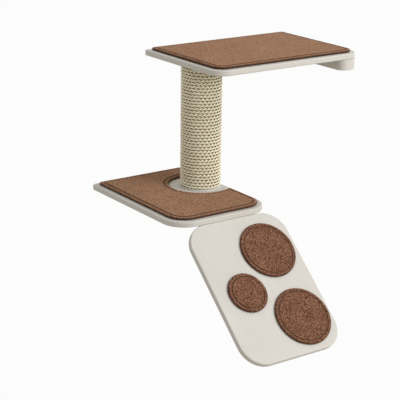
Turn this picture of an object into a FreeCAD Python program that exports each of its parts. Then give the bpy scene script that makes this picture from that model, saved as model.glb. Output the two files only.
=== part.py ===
# Wall mounted cat tree: two boards on wall rails, a rope-wound post between them and a sloping ramp.
#
# Axes: +X runs right along the wall, +Y runs into the wall, +Z is up; the wall is the plane Y = 0.
# Origin: on the wall, midway between the two wall screws of the upper rail.
# Lengths are millimetres and angles are degrees.
import FreeCAD, Part
import Sketcher
import math
import os
import re
from FreeCAD import Placement, Rotation, Vector

# ---------------------------------------------------------------- driving dimensions
SIZES = (
    ("board_thickness", 15, "both boards and the ramp are cut from one sheet"),
    ("board_rounding", 3, "radius worked on the boards' upper and lower edges"),
    ("rear_corner", 9, "plan radius of the corners next to the wall"),
    ("upper_length", 478, "upper board along the wall"),
    ("upper_depth", 342, "upper board out from the wall"),
    ("upper_corner", 42, "plan radius of the upper board's two front corners"),
    ("lower_length", 297.5, "lower board along the wall"),
    ("lower_depth", 415, "lower board out from the wall"),
    ("lower_corner", 64, "plan radius of the lower board's two front corners"),
    ("lower_shift", 169.5, "how far the lower board reaches left of the upper one"),
    ("ramp_length", 397, "ramp down its slope"),
    ("ramp_width", 297.5, "ramp along the wall"),
    ("ramp_corner", 64, "plan radius of the ramp's four corners"),
    ("ramp_shift", 17.5, "how far the ramp stands right of the lower board's left edge"),
    ("ramp_angle", 42.4, "slope of the ramp below the horizontal, in degrees"),
    ("ramp_joint_gap", 0.15, "how far the ramp is short of touching the lower board's rounded edge"),
    ("mat_margin", 13, "bare board left around a mat"),
    ("mat_thickness", 5, "felt of the mats and ramp pads"),
    ("mat_rounding", 1.5, "radius of a mat's upper edge"),
    ("mat_clearance", 32, "bare board left around the post"),
    ("hook_thickness", 1.5, "hook-and-loop tape under each mat and pad"),
    ("hook_width", 20, "width of a tape strip"),
    ("hook_inset", 30, "distance from a mat's edge to the nearest tape"),
    ("hook_disc_radius", 25, "tape disc under each ramp pad"),
    ("pad_large_radius", 78, "two large ramp pads"),
    ("pad_small_radius", 54, "small ramp pad"),
    ("pad_upper_across", 207, "upper large pad's centre from the ramp's left edge"),
    ("pad_upper_down", 108, "and from the ramp's top edge"),
    ("pad_small_across", 90, "small pad's centre from the ramp's left edge"),
    ("pad_small_down", 207, "and from the ramp's top edge"),
    ("pad_lower_across", 210, "lower large pad's centre from the ramp's left edge"),
    ("pad_lower_down", 303, "and from the ramp's top edge"),
    ("post_height", 338, "clear height between the two boards"),
    ("post_across", 71, "post axis from the upper board's left edge"),
    ("post_setback", 171, "post axis from the wall"),
    ("tube_radius", 47, "outside of the post's card tube"),
    ("tube_wall", 9, "wall of the card tube"),
    ("rope_thickness", 8, "sisal rope wound on the tube"),
    ("rope_play", 0.35, "left between two turns, which are never pushed quite together"),
    ("rope_groove", 2.4, "depth of the groove between two turns"),
    ("base_disc_thickness", 4, "disc that the post stands on"),
    ("base_disc_rim", 1, "how far the disc stands out beyond the rope"),
    ("plug_height", 25, "wooden plug in each end of the tube"),
    ("insert_radius", 6, "outside of a threaded insert"),
    ("insert_length", 20, "threaded insert in each plug"),
    ("post_bolt_radius", 4, "M8 flat-head bolt through each board into the post"),
    ("post_bolt_grip", 36, "length of that bolt under its head"),
    ("post_bolt_head_radius", 8.5, "its flat head"),
    ("post_bolt_head_height", 2.2, "height of the flat head"),
    ("washer_radius", 10, "washer under the head"),
    ("washer_thickness", 1.6, "its thickness"),
    ("bolt_recess_depth", 4, "recess that keeps head and washer below the board's face"),
    ("bolt_clearance", 0.25, "radial clearance of a bolt or screw in the piece it passes through"),
    ("washer_clearance", 0.5, "radial clearance of the washer in its recess"),
    ("hex_socket_radius", 2.9, "corner radius of the 5 mm hexagon socket in a bolt head"),
    ("hex_socket_depth", 1.4, "depth of the hexagon socket"),
    ("rail_height", 30, "wall rails and support arm, top to bottom"),
    ("rail_depth", 30, "wall rails, out from the wall"),
    ("rail_rounding", 2, "radius on the long lower front edge of a rail"),
    ("upper_rail_inset", 90, "upper rail's left end from the upper board's left edge"),
    ("lower_rail_inset", 55, "lower rail's ends from the lower board's side edges"),
    ("arm_width", 67, "support arm under the upper board's right end"),
    ("arm_nose", 23, "plan radius of the arm's inner front corner"),
    ("arm_flat", 2, "least flat left between the arm's two front corners"),
    ("wall_hole_radius", 3, "wall screw hole in a rail"),
    ("wall_head_radius", 6, "countersink of a wall screw hole"),
    ("upper_wall_spacing", 240, "between the upper rail's two wall screws"),
    ("lower_wall_spacing", 100, "between the lower rail's two wall screws"),
    ("dowel_radius", 4, "beech dowels between rail and support arm"),
    ("dowel_length", 30, "half of it in each piece"),
    ("dowel_spacing", 14, "between the two dowels"),
    ("screw_radius", 2.25, "countersunk board screws, shank"),
    ("screw_head_radius", 4.8, "their heads"),
    ("screw_length", 38, "their whole length"),
    ("screw_end", 20, "first and last board screw from the end of a rail"),
    ("arm_screw_end", 55, "first and last board screw from the ends of the arm"),
    ("bracket_width", 30, "steel brackets under the ramp joint"),
    ("bracket_thickness", 3, "their steel strip"),
    ("bracket_inset", 60, "their outer edges from the ramp's side edges"),
    ("bracket_board_leg", 65, "leg under the lower board, from the bend"),
    ("bracket_ramp_leg", 115, "leg under the ramp, from the bend"),
    ("bracket_end_gap", 15, "outer screw of a leg from the leg's end"),
    ("bracket_screw_pitch", 26, "between the two screws of a leg"),
    ("pan_radius", 2, "pan-head bracket screws, shank"),
    ("pan_head_radius", 4.2, "their heads"),
    ("pan_head_height", 2.4, "height of their heads"),
    ("pan_depth", 10, "how deep they go into a board"),
    ("staple_width", 11, "staples that hold the rope's two ends"),
    ("staple_wire", 1.2, "their wire"),
    ("staple_leg", 6, "how deep they go into the rope"),
)

doc = FreeCAD.newDocument("wall_cat_tree")
sheet = doc.addObject("Spreadsheet::Sheet", "Size")
for row, (alias, value, note) in enumerate(SIZES, start=1):
    sheet.set(f"A{row}", alias)
    sheet.set(f"B{row}", str(value))
    sheet.setAlias(f"B{row}", alias)
    sheet.set(f"C{row}", note)
doc.recompute()

ALIASES = {alias for alias, _, _ in SIZES}


def full(expression):
    """Write the sheet's name before each alias in an expression."""
    return re.sub(r"[a-z][a-z_]*", lambda word: ("Size." if word[0] in ALIASES else "") + word[0], expression)


def number(expression):
    """The value that an expression has now."""
    return float(sheet.evalExpression(full(expression)))


def bind(thing, path, expression):
    """Tie a property to an expression of the sheet's cells."""
    thing.setExpression(path, full(expression))


# ---------------------------------------------------------------- places that follow from the sizes
SLOPE = "ramp_angle * 1deg"
UPPER_LEFT = "-(upper_rail_inset + upper_length - arm_width) / 2"
UPPER_UNDERSIDE = "rail_height / 2"
UPPER_RAIL_LENGTH = "(upper_length - arm_width - upper_rail_inset)"
ARM_LEFT = f"{UPPER_LEFT} + upper_length - arm_width"
LOWER_LEFT = f"{UPPER_LEFT} - lower_shift"
LOWER_TOP = f"{UPPER_UNDERSIDE} - post_height"
LOWER_UNDERSIDE = f"{LOWER_TOP} - board_thickness"
LOWER_RAIL_LENGTH = "(lower_length - 2 * lower_rail_inset)"
POST_X = f"{UPPER_LEFT} + post_across"
ROPE_RADIUS = "(tube_radius + rope_thickness)"
RAMP_LEFT = f"{LOWER_LEFT} + ramp_shift"
# The plane of the ramp's upper face meets the lower board's lower front edge. Both edges there
# are rounded, so the ramp slides up its slope by this much until the roundings almost touch.
RAMP_TUCK = (f"(board_rounding * (1 + cos({SLOPE}) + sin({SLOPE})"
             f" - sqrt(4 - (1 + cos({SLOPE}) - sin({SLOPE}))^2)) - ramp_joint_gap)")
RAMP_TOP_Y = f"-lower_depth + board_thickness * sin({SLOPE}) + {RAMP_TUCK} * cos({SLOPE})"
RAMP_TOP_Z = f"{LOWER_UNDERSIDE} - board_thickness * cos({SLOPE}) + {RAMP_TUCK} * sin({SLOPE})"
# The undersides of the two boards meet behind that edge, at the bend of the brackets.
BEND_Y = f"-lower_depth + board_thickness / sin({SLOPE})"
BEND_TO_RAMP = f"(board_thickness / tan({SLOPE}) - {RAMP_TUCK})"

pieces = []


def new_body(label, x, y, z, tilt=None):
    """An empty body whose corner stands at x, y, z, turned about X by tilt."""
    body = doc.addObject("PartDesign::Body", label)
    body.Label = label
    if tilt:
        body.Placement.Rotation = Rotation(Vector(1, 0, 0), number(tilt))
        bind(body, "Placement.Rotation.Angle", tilt)
    for axis, expression in zip("xyz", (x, y, z)):
        bind(body, f"Placement.Base.{axis}", expression)
    pieces.append(body)
    return body


def ramp_body(label):
    """A body in the ramp's own axes: X across, -Y down the slope, Z off the ramp's underside."""
    return new_body(label, RAMP_LEFT, RAMP_TOP_Y, RAMP_TOP_Z, tilt="ramp_angle")


def flat_sketch(body, name, height="0", role="XY_Plane"):
    """A sketch parallel to one of the body's own planes, raised along that plane's normal."""
    plane = next(feature for feature in body.Origin.OriginFeatures if feature.Role == role)
    sketch = body.newObject("Sketcher::SketchObject", name)
    sketch.AttachmentSupport = [(plane, "")]
    sketch.MapMode = "FlatFace"
    bind(sketch, "AttachmentOffset.Base.z", height)
    return sketch


def fix(sketch, expression, *constraint):
    """Add a dimension to a sketch and tie it to the sheet."""
    index = sketch.addConstraint(Sketcher.Constraint(*constraint, number(expression)))
    bind(sketch, f"Constraints[{index}]", expression)


def circles(sketch, centres, radius):
    """Circles of one radius at centres (right of the origin, below the sketch's X axis)."""
    for index, (right, below) in enumerate(centres):
        centre = Vector(number(right), -number(below), 0)
        sketch.addGeometry(Part.Circle(centre, Vector(0, 0, 1), number(radius)), False)
        fix(sketch, right, "DistanceX", -1, 1, index, 3)
        fix(sketch, below, "DistanceY", index, 3, -1, 1)
        if index == 0:
            fix(sketch, radius, "Radius", index)
        else:
            sketch.addConstraint(Sketcher.Constraint("Equal", 0, index))


def outline(sketch, width, depth, corners):
    """A rectangle with its rear left corner on the origin and each corner round, or None for sharp.

    corners run front left, front right, rear right, rear left; each is a radius expression.
    """
    wide = number(width)
    deep = number(depth)
    points = (Vector(0, -deep, 0), Vector(wide, -deep, 0), Vector(wide, 0, 0), Vector(0, 0, 0))
    along = (Vector(1, 0, 0), Vector(0, 1, 0), Vector(-1, 0, 0), Vector(0, -1, 0))
    radii = [number(corner) if corner else 0.0 for corner in corners]
    for side in range(4):
        following = (side + 1) % 4
        start = points[side] + along[side] * radii[side]
        end = points[following] - along[side] * radii[following]
        sketch.addGeometry(Part.LineSegment(start, end), False)
    for side, kind in enumerate(("Horizontal", "Vertical", "Horizontal", "Vertical")):
        sketch.addConstraint(Sketcher.Constraint(kind, side))
    for corner, radius in enumerate(corners):
        before = (corner - 1) % 4
        if radius is None:
            sketch.addConstraint(Sketcher.Constraint("Coincident", before, 2, corner, 1))
            continue
        centre = points[corner] + (along[corner] - along[before]) * radii[corner]
        first = math.radians(90 * corner + 180)
        circle = Part.Circle(centre, Vector(0, 0, 1), radii[corner])
        arc = sketch.addGeometry(Part.ArcOfCircle(circle, first, first + math.pi / 2), False)
        sketch.addConstraint(Sketcher.Constraint("Tangent", before, 2, arc, 1))
        sketch.addConstraint(Sketcher.Constraint("Tangent", arc, 2, corner, 1))
        fix(sketch, radius, "Radius", arc)
    sketch.addConstraint(Sketcher.Constraint("PointOnObject", 3, 1, -2))
    sketch.addConstraint(Sketcher.Constraint("PointOnObject", 2, 1, -1))
    fix(sketch, width, "DistanceX", 3, 1, 1, 1)
    fix(sketch, depth, "DistanceY", 0, 1, 2, 1)


def pad(body, sketch, height):
    """Raise a sketch along its normal."""
    feature = body.newObject("PartDesign::Pad", f"{body.Name}_pad")
    feature.Profile = sketch
    bind(feature, "Length", height)
    doc.recompute()
    return feature


def level_face(feature, top):
    """The name of a feature's highest or lowest level face."""
    heights = [face.CenterOfMass.z for face in feature.Shape.Faces]
    wanted = max(heights) if top else min(heights)
    return f"Face{heights.index(wanted) + 1}"


def round_edges(body, feature, names, radius):
    """Round edges, or every edge of a face."""
    fillet = body.newObject("PartDesign::Fillet", f"{body.Name}_rounding")
    fillet.Base = (feature, names)
    bind(fillet, "Radius", radius)
    doc.recompute()


def drill(body, name, centres, diameter, height="0", role="XY_Plane", depth=None, head=None, upward=False):
    """Drill holes from a sketch plane into the body, with an optional head recess.

    depth None goes right through. head is (kind, diameter, angle or depth). upward turns the
    drill to run along the plane's normal instead of against it.
    """
    sketch = flat_sketch(body, f"{body.Name}_{name}_centres", height, role)
    circles(sketch, centres, f"({diameter}) / 2")
    hole = body.newObject("PartDesign::Hole", f"{body.Name}_{name}")
    hole.Profile = sketch
    doc.recompute()
    before = hole.BaseFeature.Shape.Volume
    hole.Reversed = upward
    bind(hole, "Diameter", diameter)
    hole.DepthType = "Dimension" if depth else "ThroughAll"
    if depth:
        hole.DrillPoint = "Flat"
        bind(hole, "Depth", depth)
    if head:
        kind, head_diameter, measure = head
        hole.HoleCutType = kind
        hole.HoleCutCustomValues = True
        bind(hole, "HoleCutDiameter", head_diameter)
        bind(hole, "HoleCutCountersinkAngle" if kind == "Countersink" else "HoleCutDepth", measure)
    doc.recompute()
    if hole.Shape.Volume >= before:
        raise RuntimeError(f"{body.Label}: {name} removed nothing")


def cut_through(body, name, centre, radius):
    """Cut a round opening right through a body that stands on its XY plane."""
    sketch = flat_sketch(body, f"{body.Name}_{name}_circle")
    circles(sketch, (centre,), radius)
    before = body.Shape.Volume
    pocket = body.newObject("PartDesign::Pocket", f"{body.Name}_{name}")
    pocket.Profile = sketch
    pocket.Type = "ThroughAll"
    pocket.Reversed = True
    doc.recompute()
    if body.Shape.Volume >= before:
        raise RuntimeError(f"{body.Label}: {name} removed nothing")


def shaped_piece(label, shapes, placement=Placement()):
    """A piece made with Part's own functions: one solid, or a set of identical ones such as screws."""
    feature = doc.addObject("Part::Feature", label)
    feature.Label = label
    feature.Shape = Part.makeCompound(shapes)
    feature.Placement = placement
    pieces.append(feature)


def turned(points):
    """A solid turned about Z from (radius, height) points."""
    corners = [Vector(radius, 0, height) for radius, height in points]
    face = Part.Face(Part.makePolygon(corners + corners[:1]))
    return face.revolve(Vector(0, 0, 0), Vector(0, 0, 1), 360)


# ---------------------------------------------------------------- where the fasteners go
def board_screw_places(rail_left, rail_length):
    """Three screws along a rail, in the axes of the board above it."""
    middle = "rail_depth / 2"
    return (
        (f"{rail_left} + screw_end", middle),
        (f"{rail_left} + {rail_length} / 2", middle),
        (f"{rail_left} + {rail_length} - screw_end", middle),
    )


UPPER_RAIL_SCREWS = board_screw_places("upper_rail_inset", UPPER_RAIL_LENGTH)
LOWER_RAIL_SCREWS = board_screw_places("lower_rail_inset", LOWER_RAIL_LENGTH)
ARM_SCREW_X = "upper_length - arm_width / 2"
ARM_SCREWS = (
    (ARM_SCREW_X, "arm_screw_end"),
    (ARM_SCREW_X, "upper_depth / 2"),
    (ARM_SCREW_X, "upper_depth - arm_screw_end"),
)
UPPER_POST = ("post_across", "post_setback")
LOWER_POST = ("lower_shift + post_across", "post_setback")
BRACKET_LEFTS = ("bracket_inset", "ramp_width - bracket_inset - bracket_width")


def leg_screws(leg):
    """Distances of a leg's two screws from the bracket's bend."""
    return (f"{leg} - bracket_end_gap - bracket_screw_pitch", f"{leg} - bracket_end_gap")


SCREW_HOLE = "2 * (screw_radius + bolt_clearance)"
SCREW_SINK = ("Countersink", "2 * screw_head_radius", "90")
BOLT_HOLE = "2 * (post_bolt_radius + bolt_clearance)"
BOLT_RECESS = ("Counterbore", "2 * (washer_radius + washer_clearance)", "bolt_recess_depth")
PILOT_DEPTH = "screw_length - board_thickness"


# ---------------------------------------------------------------- boards
def board(body, width, depth, corners):
    """Raise a board and round its upper and lower edges."""
    sketch = flat_sketch(body, f"{body.Name}_outline")
    outline(sketch, width, depth, corners)
    plate = pad(body, sketch, "board_thickness")
    faces = [level_face(plate, top=True), level_face(plate, top=False)]
    round_edges(body, plate, faces, "board_rounding")


def upper_board():
    body = new_body("upper_board", UPPER_LEFT, "0", UPPER_UNDERSIDE)
    corners = ("upper_corner", "upper_corner", "rear_corner", "rear_corner")
    board(body, "upper_length", "upper_depth", corners)
    top = "board_thickness"
    drill(body, "post_bolt", (UPPER_POST,), BOLT_HOLE, top, head=BOLT_RECESS)
    drill(body, "screws", UPPER_RAIL_SCREWS + ARM_SCREWS, SCREW_HOLE, top, head=SCREW_SINK)


def lower_board():
    body = new_body("lower_board", LOWER_LEFT, "0", LOWER_UNDERSIDE)
    corners = ("lower_corner", "lower_corner", "rear_corner", "rear_corner")
    board(body, "lower_length", "lower_depth", corners)
    drill(body, "post_bolt", (LOWER_POST,), BOLT_HOLE, head=BOLT_RECESS, upward=True)
    drill(body, "screws", LOWER_RAIL_SCREWS, SCREW_HOLE, "board_thickness", head=SCREW_SINK)
    centres = [
        (f"ramp_shift + {left} + bracket_width / 2", f"-({BEND_Y} + {distance})")
        for left in BRACKET_LEFTS
        for distance in leg_screws("bracket_board_leg")
    ]
    drill(body, "bracket_pilots", centres, "2 * pan_radius", depth="pan_depth", upward=True)


def ramp_board():
    body = ramp_body("ramp_board")
    board(body, "ramp_width", "ramp_length", ("ramp_corner",) * 4)
    centres = [
        (f"{left} + bracket_width / 2", f"{distance} - {BEND_TO_RAMP}")
        for left in BRACKET_LEFTS
        for distance in leg_screws("bracket_ramp_leg")
    ]
    drill(body, "bracket_pilots", centres, "2 * pan_radius", depth="pan_depth", upward=True)


# ---------------------------------------------------------------- wall rails and support arm
def rail(label, left, underside, length, spacing):
    """A square rail with two countersunk wall screw holes and three pilot holes in its top."""
    body = new_body(label, left, "0", f"{underside} - rail_height")
    sketch = flat_sketch(body, f"{label}_outline")
    outline(sketch, length, "rail_depth", (None,) * 4)
    bar = pad(body, sketch, "rail_height")
    front = min(bar.Shape.Edges, key=lambda edge: edge.CenterOfMass.y + edge.CenterOfMass.z)
    name = next(f"Edge{i}" for i, edge in enumerate(bar.Shape.Edges, 1) if edge.isSame(front))
    round_edges(body, bar, [name], "rail_rounding")
    # On the XZ plane a point above the X axis lies at a negative distance below it.
    wall_holes = [(f"{length} / 2 {sign} {spacing} / 2", "-rail_height / 2") for sign in "-+"]
    sink = ("Countersink", "2 * wall_head_radius", "90")
    drill(body, "wall_holes", wall_holes, "2 * wall_hole_radius", "rail_depth", "XZ_Plane", head=sink)
    pilots = board_screw_places("0", length)
    drill(body, "pilots", pilots, "2 * screw_radius", "rail_height", depth=PILOT_DEPTH)
    return body


# On the YZ plane the sketch's X axis is the body's Y axis, so places behind the wall are negative.
DOWEL_PLACES = [(f"-rail_depth / 2 {sign} dowel_spacing / 2", "-rail_height / 2") for sign in "-+"]


def upper_wall_rail():
    left = f"{UPPER_LEFT} + upper_rail_inset"
    body = rail("upper_wall_rail", left, UPPER_UNDERSIDE, UPPER_RAIL_LENGTH, "upper_wall_spacing")
    drill(body, "dowel_holes", DOWEL_PLACES, "2 * dowel_radius", UPPER_RAIL_LENGTH, "YZ_Plane",
          depth="dowel_length / 2")


def lower_wall_rail():
    left = f"{LOWER_LEFT} + lower_rail_inset"
    rail("lower_wall_rail", left, LOWER_UNDERSIDE, LOWER_RAIL_LENGTH, "lower_wall_spacing")


def support_arm():
    body = new_body("support_arm", ARM_LEFT, "0", f"{UPPER_UNDERSIDE} - rail_height")
    sketch = flat_sketch(body, "support_arm_outline")
    # The outer front corner follows the board's corner as far as the arm's width lets it.
    outer_corner = "min(upper_corner; arm_width - arm_nose - arm_flat)"
    outline(sketch, "arm_width", "upper_depth", ("arm_nose", outer_corner, None, None))
    bar = pad(body, sketch, "rail_height")
    round_edges(body, bar, [level_face(bar, top=False)], "rail_rounding")
    pilots = [("arm_width / 2", below) for _, below in ARM_SCREWS]
    drill(body, "pilots", pilots, "2 * screw_radius", "rail_height", depth=PILOT_DEPTH)
    drill(body, "dowel_holes", DOWEL_PLACES, "2 * dowel_radius", "0", "YZ_Plane",
          depth="dowel_length / 2", upward=True)


# ---------------------------------------------------------------- mats and pads
def felt(body, sketch):
    """Raise a mat or pad and round its upper edge."""
    sheet_of_felt = pad(body, sketch, "mat_thickness")
    round_edges(body, sheet_of_felt, [level_face(sheet_of_felt, top=True)], "mat_rounding")


def mat(label, left, top, width, depth, front_corner):
    """A mat that leaves the same bare margin all round its board."""
    body = new_body(label, f"{left} + mat_margin", "-mat_margin", f"{top} + hook_thickness")
    sketch = flat_sketch(body, f"{label}_outline")
    corner = f"{front_corner} - mat_margin"
    outline(sketch, f"{width} - 2 * mat_margin", f"{depth} - 2 * mat_margin",
            (corner, corner, "rear_corner", "rear_corner"))
    return body, sketch


def upper_mat():
    top = f"{UPPER_UNDERSIDE} + board_thickness"
    felt(*mat("upper_mat", UPPER_LEFT, top, "upper_length", "upper_depth", "upper_corner"))


def lower_mat():
    body, sketch = mat("lower_mat", LOWER_LEFT, LOWER_TOP, "lower_length", "lower_depth", "lower_corner")
    felt(body, sketch)
    centre = ("lower_shift + post_across - mat_margin", "post_setback - mat_margin")
    cut_through(body, "post_opening", centre, f"{ROPE_RADIUS} + mat_clearance")


PADS = (
    ("ramp_pad_upper", "pad_upper_across", "pad_upper_down", "pad_large_radius"),
    ("ramp_pad_small", "pad_small_across", "pad_small_down", "pad_small_radius"),
    ("ramp_pad_lower", "pad_lower_across", "pad_lower_down", "pad_large_radius"),
)


def ramp_pads():
    for label, across, down, radius in PADS:
        body = ramp_body(label)
        sketch = flat_sketch(body, f"{label}_outline", "board_thickness + hook_thickness")
        circles(sketch, ((across, down),), radius)
        felt(body, sketch)


def strip(left, front, length, width):
    """A tape strip, lying on height 0."""
    return Part.makeBox(length, width, number("hook_thickness"), Vector(left, front, 0))


def hook_tapes():
    inset = number("mat_margin + hook_inset")
    width = number("hook_width")
    long = number("upper_length") - 2 * inset
    fronts = (-number("upper_depth") + inset, -number("upper_depth / 2") - width / 2, -inset - width)
    top = Vector(number(UPPER_LEFT), 0, number(f"{UPPER_UNDERSIDE} + board_thickness"))
    shaped_piece("upper_mat_hook_strips", [strip(inset, front, long, width) for front in fronts],
          Placement(top, Rotation()))

    # Two strips run out from the wall left of the post, and one crosses the front.
    deep = number("lower_depth") - 2 * inset
    opening_left = number(f"lower_shift + post_across - {ROPE_RADIUS} - mat_clearance")
    second = opening_left - number("hook_inset") - width
    front = number("-lower_depth") + inset
    across = second + width + number("hook_inset")
    strips = [
        strip(inset, front, width, deep),
        strip(second, front, width, deep),
        strip(across, front, number("lower_length") - inset - across, width),
    ]
    shaped_piece("lower_mat_hook_strips", strips,
          Placement(Vector(number(LOWER_LEFT), 0, number(LOWER_TOP)), Rotation()))


def ramp_placement():
    """The ramp's own axes as a placement."""
    corner = Vector(number(RAMP_LEFT), number(RAMP_TOP_Y), number(RAMP_TOP_Z))
    return Placement(corner, Rotation(Vector(1, 0, 0), number("ramp_angle")))


def ramp_pad_hook_discs():
    discs = [
        Part.makeCylinder(number("hook_disc_radius"), number("hook_thickness"),
                          Vector(number(across), -number(down), number("board_thickness")))
        for _, across, down, _ in PADS
    ]
    shaped_piece("ramp_pad_hook_discs", discs, ramp_placement())


# ---------------------------------------------------------------- post
def post_body(label, height):
    """A body on the post's axis, that high above the lower board."""
    return new_body(label, POST_X, "-post_setback", f"{LOWER_TOP} + {height}")


def round_piece(label, height, outer, inner, length):
    """A turned piece on the post's axis, with a round hole through it."""
    body = post_body(label, height)
    sketch = flat_sketch(body, f"{label}_rings")
    sketch.addGeometry(Part.Circle(Vector(), Vector(0, 0, 1), number(outer)), False)
    sketch.addGeometry(Part.Circle(Vector(), Vector(0, 0, 1), number(inner)), False)
    for index, radius in enumerate((outer, inner)):
        sketch.addConstraint(Sketcher.Constraint("Coincident", index, 3, -1, 1))
        fix(sketch, radius, "Radius", index)
    return body, pad(body, sketch, length)


TUBE_LENGTH = "(post_height - base_disc_thickness)"
TUBE_BORE = "tube_radius - tube_wall"


def post_core():
    disc = "base_disc_thickness"
    body, ring = round_piece("post_base_disc", "0", f"{ROPE_RADIUS} + base_disc_rim",
                             "post_bolt_radius + bolt_clearance", disc)
    rim = max(ring.Shape.Edges, key=lambda edge: (edge.Length, edge.CenterOfMass.z))
    name = next(f"Edge{i}" for i, edge in enumerate(ring.Shape.Edges, 1) if edge.isSame(rim))
    round_edges(body, ring, [name], "base_disc_rim")
    round_piece("post_tube", disc, "tube_radius", TUBE_BORE, TUBE_LENGTH)
    round_piece("post_bottom_plug", disc, TUBE_BORE, "insert_radius", "plug_height")
    round_piece("post_top_plug", "post_height - plug_height", TUBE_BORE, "insert_radius", "plug_height")


def rope_turns():
    """Whole turns of rope on the tube, and the height that each one takes."""
    length = number(TUBE_LENGTH)
    turns = round(length / number("rope_thickness + rope_play"))
    return turns, length / turns


def post_rope():
    """The wound rope as a sleeve with one round ridge for each turn."""
    turns, pitch = rope_turns()
    inside = number("tube_radius")
    outside = number(ROPE_RADIUS)
    valley = outside - number("rope_groove")
    base = Vector(inside, 0, 0)
    top = Vector(inside, 0, turns * pitch)
    edges = [Part.makeLine(base, Vector(valley, 0, 0))]
    for turn in range(turns):
        start = Vector(valley, 0, turn * pitch)
        crest = Vector(outside, 0, (turn + 0.5) * pitch)
        end = Vector(valley, 0, (turn + 1) * pitch)
        edges.append(Part.Arc(start, crest, end).toShape())
    edges.append(Part.makeLine(Vector(valley, 0, turns * pitch), top))
    edges.append(Part.makeLine(top, base))
    face = Part.Face(Part.Wire(edges))
    sleeve = face.revolve(Vector(0, 0, 0), Vector(0, 0, 1), 360)
    foot = Vector(number(POST_X), -number("post_setback"), number(f"{LOWER_TOP} + base_disc_thickness"))
    shaped_piece("post_rope", [sleeve], Placement(foot, Rotation()))


def rope_end_staples():
    """A staple over the first and the last turn of the rope, on the side next to the wall."""
    turns, pitch = rope_turns()
    width = number("staple_width")
    wire = number("staple_wire")
    leg = number("staple_leg")
    outer = Part.makeBox(wire, leg + wire, width, Vector(-wire / 2, -leg, -width / 2))
    inner = Part.makeBox(wire, leg, width - 2 * wire, Vector(-wire / 2, -leg, -width / 2 + wire))
    staple = outer.cut(inner)
    middle = number(f"{LOWER_TOP} + base_disc_thickness")
    back = -number("post_setback") + number(ROPE_RADIUS)
    heights = (middle + pitch, middle + (turns - 1) * pitch)
    shaped_piece("rope_end_staples", [staple.translated(Vector(number(POST_X), back, z)) for z in heights])


def flat_bolt():
    """A flat-head bolt, head upward with its top on height 0, with a hexagon socket."""
    head = number("post_bolt_head_radius")
    high = number("post_bolt_head_height")
    shank = number("post_bolt_radius")
    end = -high - number("post_bolt_grip")
    bolt = turned(((0, 0), (head, 0), (head, -high), (shank, -high), (shank, end), (0, end)))
    radius = number("hex_socket_radius")
    corners = [Rotation(Vector(0, 0, 1), 60 * turn).multVec(Vector(radius, 0, 0)) for turn in range(7)]
    socket = Part.Face(Part.makePolygon(corners)).extrude(Vector(0, 0, -number("hex_socket_depth")))
    return bolt.cut(socket)


def post_fasteners():
    """Bolt, washer and threaded insert at each end of the post."""
    x = number(POST_X)
    y = -number("post_setback")
    recess = number("bolt_recess_depth")
    thin = number("washer_thickness")
    head = number("post_bolt_head_height")
    outer = number("insert_radius")
    length = number("insert_length")
    upper_floor = number(f"{UPPER_UNDERSIDE} + board_thickness") - recess
    lower_floor = number(LOWER_UNDERSIDE) + recess
    down = Placement(Vector(x, y, upper_floor), Rotation())
    up = Placement(Vector(x, y, lower_floor), Rotation(Vector(1, 0, 0), 180))

    bore = number("post_bolt_radius + bolt_clearance")
    washer = Part.makeCylinder(number("washer_radius"), thin).cut(Part.makeCylinder(bore, thin))
    shaped_piece("post_bolt_washers", [washer.transformed(place.Matrix) for place in (down, up)])

    bolt = flat_bolt().translated(Vector(0, 0, thin + head))
    shaped_piece("post_bolts", [bolt.transformed(place.Matrix) for place in (down, up)])

    insert = Part.makeCylinder(outer, length)
    insert = insert.cut(Part.makeCylinder(number("post_bolt_radius"), length))
    bottom = Vector(x, y, number(f"{LOWER_TOP} + base_disc_thickness"))
    top = Vector(x, y, number(UPPER_UNDERSIDE) - length)
    shaped_piece("post_threaded_inserts", [insert.translated(place) for place in (bottom, top)])


# ---------------------------------------------------------------- screws, dowels and brackets
def countersunk_screw():
    """A countersunk screw, its head's top on height 0."""
    head = number("screw_head_radius")
    shank = number("screw_radius")
    end = -number("screw_length")
    return turned(((0, 0), (head, 0), (shank, shank - head), (shank, end + shank), (0, end)))


def board_screws():
    """The screws that hold each board down on its rail and on the support arm."""
    upper_top = number(f"{UPPER_UNDERSIDE} + board_thickness")
    lower_top = number(LOWER_TOP)
    sets = (
        ("upper_rail_screws", UPPER_RAIL_SCREWS, UPPER_LEFT, upper_top),
        ("support_arm_screws", ARM_SCREWS, UPPER_LEFT, upper_top),
        ("lower_rail_screws", LOWER_RAIL_SCREWS, LOWER_LEFT, lower_top),
    )
    for label, places, left, top in sets:
        spots = [Vector(number(f"{left} + {x}"), -number(y), top) for x, y in places]
        shaped_piece(label, [countersunk_screw().translated(spot) for spot in spots])


def support_arm_dowels():
    length = number("dowel_length")
    start = number(ARM_LEFT) - length / 2
    dowels = [
        Part.makeCylinder(number("dowel_radius"), length, Vector(start, number(y), 0), Vector(1, 0, 0))
        for y, _ in DOWEL_PLACES
    ]
    shaped_piece("support_arm_dowels", dowels)


def plate_leg(name, length, angle):
    """One leg of a bracket as a box that ends at the bend, thickness downward."""
    leg = doc.addObject("Part::Box", name)
    bind(leg, "Length", "bracket_width")
    bind(leg, "Width", length)
    bind(leg, "Height", "bracket_thickness")
    if angle:
        leg.Placement.Rotation = Rotation(Vector(1, 0, 0), number("ramp_angle"))
        bind(leg, "Placement.Rotation.Angle", "ramp_angle")
        bind(leg, "Placement.Base.y", f"bracket_thickness * sin({SLOPE}) - {length} * cos({SLOPE})")
        bind(leg, "Placement.Base.z", f"-bracket_thickness * cos({SLOPE}) - {length} * sin({SLOPE})")
    else:
        bind(leg, "Placement.Base.z", "-bracket_thickness")
    return leg


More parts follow.
